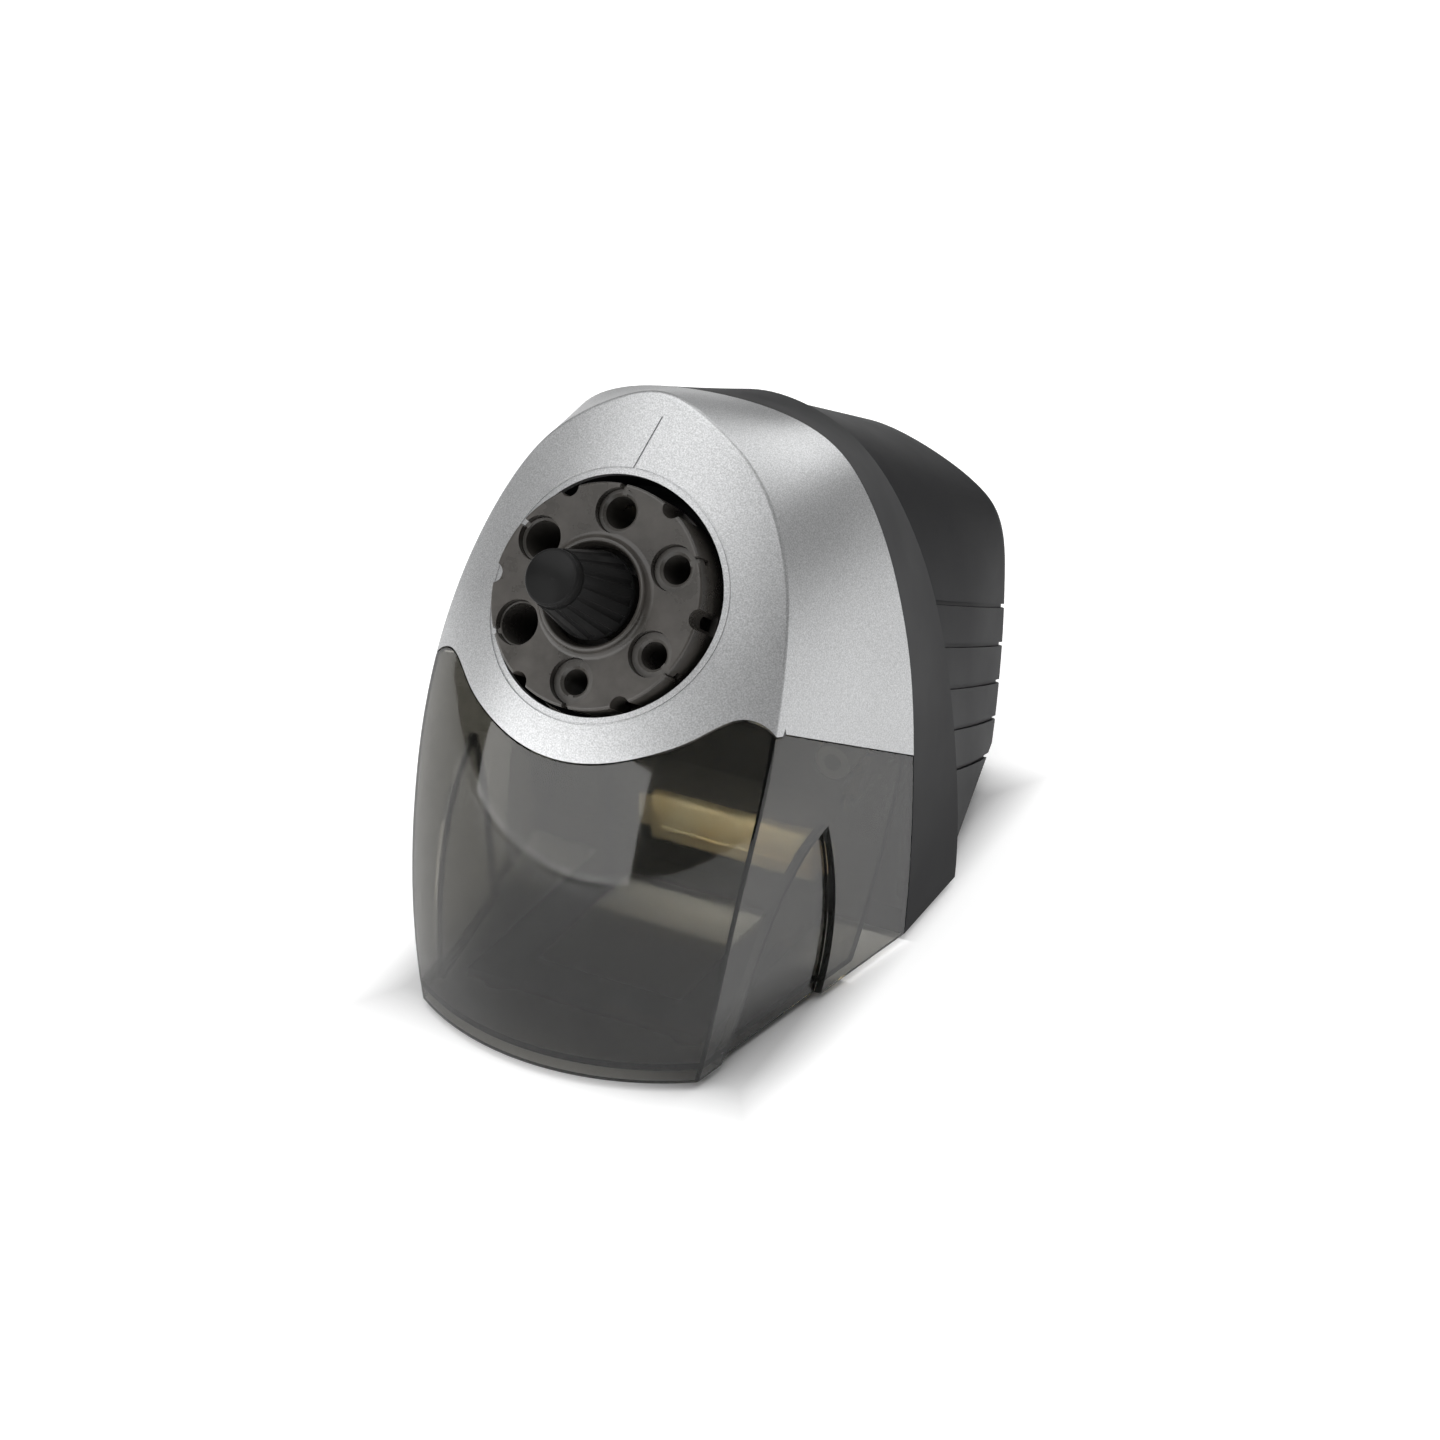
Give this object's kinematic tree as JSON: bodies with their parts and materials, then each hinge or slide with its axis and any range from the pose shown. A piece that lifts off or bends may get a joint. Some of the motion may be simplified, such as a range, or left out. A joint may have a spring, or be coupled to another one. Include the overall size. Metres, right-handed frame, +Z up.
{
  "type": "electric pencil sharpener",
  "caption": "Desktop electric pencil sharpener with rounded two-tone housing, rotating size dial with knob and a clear pull-out shavings drawer.",
  "frame": {"origin": "on the table under the centre of the object's box", "axes": "+Z up, front with dial and drawer faces -Y, +X to the viewer's right"},
  "size_m": [0.141, 0.233, 0.1847],
  "materials": {
    "silver_paint": "satin metallic paint",
    "smoke_plastic": "clear smoke",
    "black_plastic": "fine matt texture",
    "rubber": "matt",
    "dial_plastic": "satin moulded",
    "knob_plastic": "satin moulded",
    "steel": "machined",
    "screw_steel": "zinc plated",
    "die_cast": "die cast",
    "nylon": "natural nylon",
    "bronze": "sintered",
    "yellow_zinc": "yellow zinc plate",
    "black_steel": "black paint",
    "laminations": "stacked sheet",
    "copper": "enamelled wire",
    "switch_plastic": "moulded",
    "board": "laminate",
    "relay_plastic": "moulded",
    "capacitor": "sleeved can",
    "terminal_plastic": "moulded"
  },
  "bodies": {
    "housing": {"front_cover": "silver_paint", "main_housing": "black_plastic", "rear_housing": "black_plastic", "base_plate": "black_plastic", "dial_seat": "black_plastic", "cutter_housing": "black_plastic", "cutter_guard": "black_plastic", "switch_stand": "black_plastic", "cord_gland": "rubber", "rubber_feet": "rubber", "dial_post": "steel", "dial_screw": "screw_steel", "detent_spring": "steel", "ring_gear": "steel", "compound_axle": "steel", "carrier_bush": "bronze", "gear_plate": "yellow_zinc", "plate_spacers": "steel", "plate_screws": "screw_steel", "chassis_plate": "black_steel", "chassis_brace": "yellow_zinc", "chassis_screws": "screw_steel", "motor_front_bush": "bronze", "motor_rear_bush": "bronze", "motor_stator": "laminations", "motor_coils": "copper", "motor_bolts": "screw_steel", "motor_sleeves": "steel", "motor_rear_bracket": "yellow_zinc", "bracket_screws": "screw_steel", "cover_screws": "screw_steel", "housing_screws": "screw_steel", "lever_pin": "steel", "start_switch": "switch_plastic", "drawer_switch": "switch_plastic", "control_board": "board", "board_standoffs": "nylon", "motor_relay": "relay_plastic", "motor_capacitor": "capacitor", "terminal_block": "terminal_plastic"},
    "dial": {"dial_cap": "dial_plastic", "dial_drum": "dial_plastic", "selector_knob": "knob_plastic"},
    "drawer": {"shavings_drawer": "smoke_plastic"},
    "carrier": {"cutter_carrier": "die_cast", "cutter_axle": "steel", "carrier_gear": "nylon"},
    "cutter": {"helical_cutter": "steel", "cutter_pinion": "steel"},
    "layshaft": {"compound_gear": "nylon"},
    "rotor": {"motor_shaft": "steel", "rotor_core": "laminations", "motor_pinion": "bronze", "cooling_fan": "black_plastic"},
    "start_lever": {"start_lever": "nylon"},
    "drawer_plunger": {"switch_plunger": "nylon"}
  },
  "joints": [
    {"name": "dial_turn", "type": "hinge", "parent": "housing", "child": "dial", "pos_m": [0, -0.0733, 0.1379], "axis": [0, -0.829, 0.5592], "continuous": true},
    {"name": "drawer_slide", "type": "slide", "parent": "housing", "child": "drawer", "axis": [0, -1, 0], "range_m": [0, 0.13]},
    {"name": "rotor_spin", "type": "hinge", "parent": "housing", "child": "rotor", "pos_m": [0, 0.02588, 0.06497], "axis": [0, -0.829, 0.5592], "continuous": true},
    {"name": "layshaft_spin", "type": "hinge", "parent": "housing", "child": "layshaft", "pos_m": [0.02598, 0.01851, 0.08803], "axis": [0, -0.829, 0.5592], "continuous": true},
    {"name": "carrier_spin", "type": "hinge", "parent": "housing", "child": "carrier", "pos_m": [0, 0.01529, 0.1083], "axis": [0, -0.829, 0.5592], "continuous": true},
    {"name": "cutter_spin", "type": "hinge", "parent": "carrier", "child": "cutter", "pos_m": [0.0155, -0.02491, 0.13542], "axis": [0.1822, -0.8152, 0.5498], "continuous": true},
    {"name": "start_lever_swing", "type": "hinge", "parent": "housing", "child": "start_lever", "pos_m": [0.022, -0.03445, 0.14185], "axis": [0, -0.829, 0.5592], "range_deg": [-5.5, 0], "stiffness_Nm_per_rad": 0.02},
    {"name": "plunger_press", "type": "slide", "parent": "housing", "child": "drawer_plunger", "axis": [0, 1, 0], "range_m": [0, 0.0025], "stiffness_N_per_m": 60}
  ],
  "couplings": [
    {"joint": "layshaft_spin", "follows": "rotor_spin", "ratio": -0.25},
    {"joint": "carrier_spin", "follows": "rotor_spin", "ratio": 0.090909},
    {"joint": "cutter_spin", "follows": "rotor_spin", "ratio": -0.29221}
  ]
}
